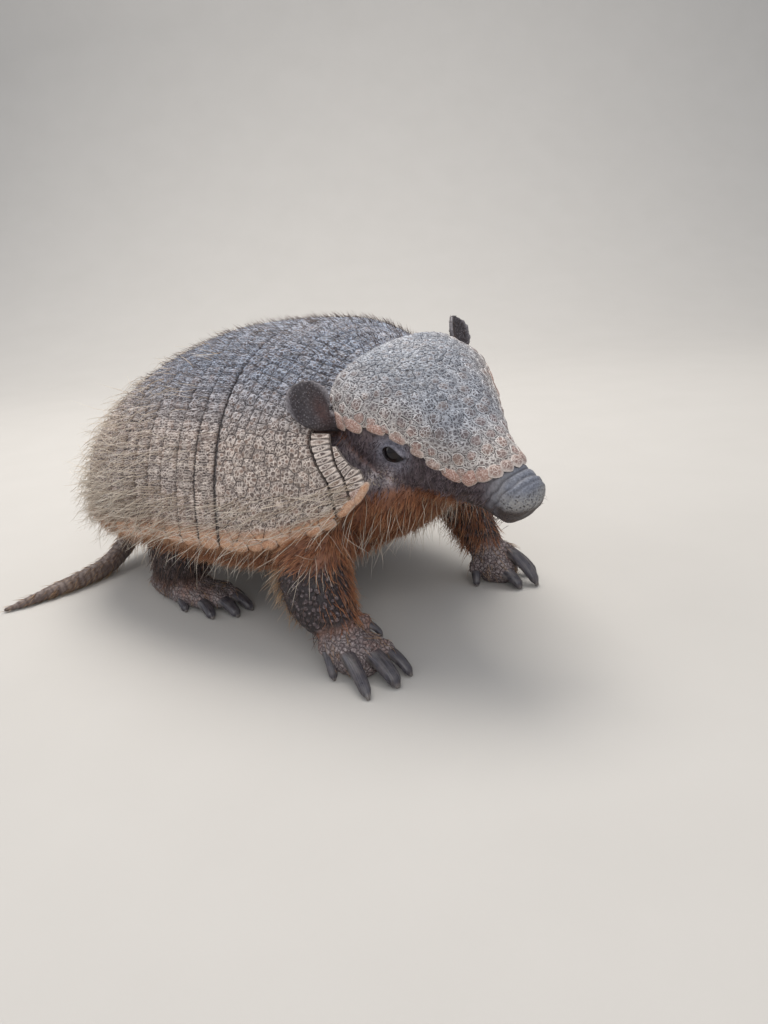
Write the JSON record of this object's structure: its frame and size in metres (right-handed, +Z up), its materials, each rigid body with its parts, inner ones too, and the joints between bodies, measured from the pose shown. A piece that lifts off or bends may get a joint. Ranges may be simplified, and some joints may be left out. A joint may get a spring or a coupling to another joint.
{
  "type": "armadillo",
  "caption": "Life-size standing hairy armadillo with a domed, banded carapace, plated head turned to its right, clawed feet and a trailing tail.",
  "frame": {"origin": "floor level, under the middle of the animal's box", "axes": "+X to the animal's front, +Y to its left, +Z up"},
  "size_m": [0.2791, 0.1959, 0.1347],
  "materials": {
    "back_armour": "dry horny scutes with pale worn rims",
    "head_armour": "dry horny scutes, pinker at the edge",
    "skin": "matt wrinkled skin",
    "coat": "coarse sparse hair over leathery skin",
    "foot_skin": "matt scaly skin",
    "claw": "satin horn with fine streaks",
    "eye": "wet black"
  },
  "bodies": {
    "root": {"ear_left": "skin", "ear_right": "skin", "eye_left": "eye", "eye_right": "eye", "forefoot_left": "foot_skin", "forefoot_left_claw_1": "claw", "forefoot_left_claw_2": "claw", "forefoot_left_claw_3": "claw", "forefoot_left_claw_4": "claw", "forefoot_left_claw_5": "claw", "forefoot_right": "foot_skin", "forefoot_right_claw_1": "claw", "forefoot_right_claw_2": "claw", "forefoot_right_claw_3": "claw", "forefoot_right_claw_4": "claw", "forefoot_right_claw_5": "claw", "foreleg_left": "skin", "foreleg_right": "skin", "head": "skin", "head_shield": "head_armour", "hind_leg_left": "skin", "hind_leg_right": "skin", "hindfoot_left": "foot_skin", "hindfoot_left_claw_1": "claw", "hindfoot_left_claw_2": "claw", "hindfoot_left_claw_3": "claw", "hindfoot_left_claw_4": "claw", "hindfoot_left_claw_5": "claw", "hindfoot_right": "foot_skin", "hindfoot_right_claw_1": "claw", "hindfoot_right_claw_2": "claw", "hindfoot_right_claw_3": "claw", "hindfoot_right_claw_4": "claw", "hindfoot_right_claw_5": "claw", "movable_band_1": "back_armour", "movable_band_2": "back_armour", "movable_band_3": "back_armour", "movable_band_4": "back_armour", "movable_band_5": "back_armour", "movable_band_6": "back_armour", "movable_band_7": "back_armour", "neck": "coat", "nuchal_band_1_left": "back_armour", "nuchal_band_1_right": "back_armour", "nuchal_band_2_left": "back_armour", "nuchal_band_2_right": "back_armour", "pelvic_shield": "back_armour", "scapular_shield": "back_armour", "tail_base": "skin", "tail_tip": "skin", "trunk": "coat"}
  },
  "joints": []
}
